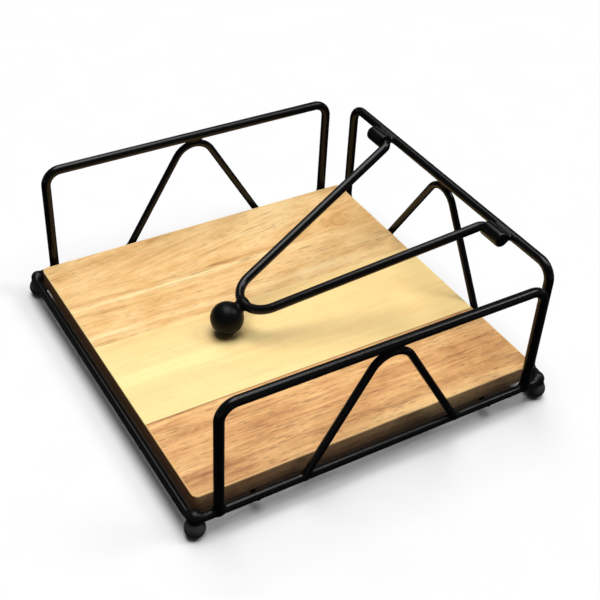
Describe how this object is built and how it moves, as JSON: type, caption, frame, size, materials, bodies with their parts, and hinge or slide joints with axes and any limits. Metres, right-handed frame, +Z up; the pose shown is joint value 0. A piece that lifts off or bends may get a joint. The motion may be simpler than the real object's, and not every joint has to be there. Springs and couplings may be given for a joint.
{
  "type": "napkin holder",
  "caption": "Flat open napkin holder: wooden board in a wire frame on ball feet, with a hinged V-shaped wire arm whose ball weight holds the napkins down.",
  "frame": {"origin": "on the ground plane, under the middle of the holder", "axes": "+Z up, -Y towards the open front, +Y towards the hinge, X along the hinge axis"},
  "size_m": [0.1964, 0.1964, 0.0758],
  "materials": {
    "wood_tan": "tan rubberwood with darker streaks, thin satin lacquer",
    "wood_pale": "pale rubberwood, thin satin lacquer",
    "wood_brown": "brown-orange rubberwood with short dark flecks, thin satin lacquer",
    "black_coating": "black satin powder coating over steel wire",
    "screw_steel": "zinc-plated steel"
  },
  "bodies": {
    "frame": {"board_stave_left": "wood_tan", "board_stave_middle": "wood_pale", "board_stave_right": "wood_brown", "base_ring": "black_coating", "rail_left": "black_coating", "rail_right": "black_coating", "rail_back": "black_coating", "brace_left": "black_coating", "brace_right": "black_coating", "brace_back": "black_coating", "cross_wire_front": "black_coating", "cross_wire_back": "black_coating", "hinge_sleeve_left": "black_coating", "hinge_sleeve_right": "black_coating", "foot_front_left": "black_coating", "foot_front_right": "black_coating", "foot_back_left": "black_coating", "foot_back_right": "black_coating", "fixing_lug_front_left": "black_coating", "fixing_lug_front_right": "black_coating", "fixing_lug_back_left": "black_coating", "fixing_lug_back_right": "black_coating", "board_screw_front_left": "screw_steel", "board_screw_front_right": "screw_steel", "board_screw_back_left": "screw_steel", "board_screw_back_right": "screw_steel"},
    "arm": {"swing_arm": "black_coating", "arm_weight": "black_coating"}
  },
  "joints": [
    {"name": "arm_swing", "type": "hinge", "parent": "frame", "child": "arm", "pos_m": [0, 0.0887, 0.0718], "axis": [-1, 0, 0], "range_deg": [0, 150]}
  ]
}
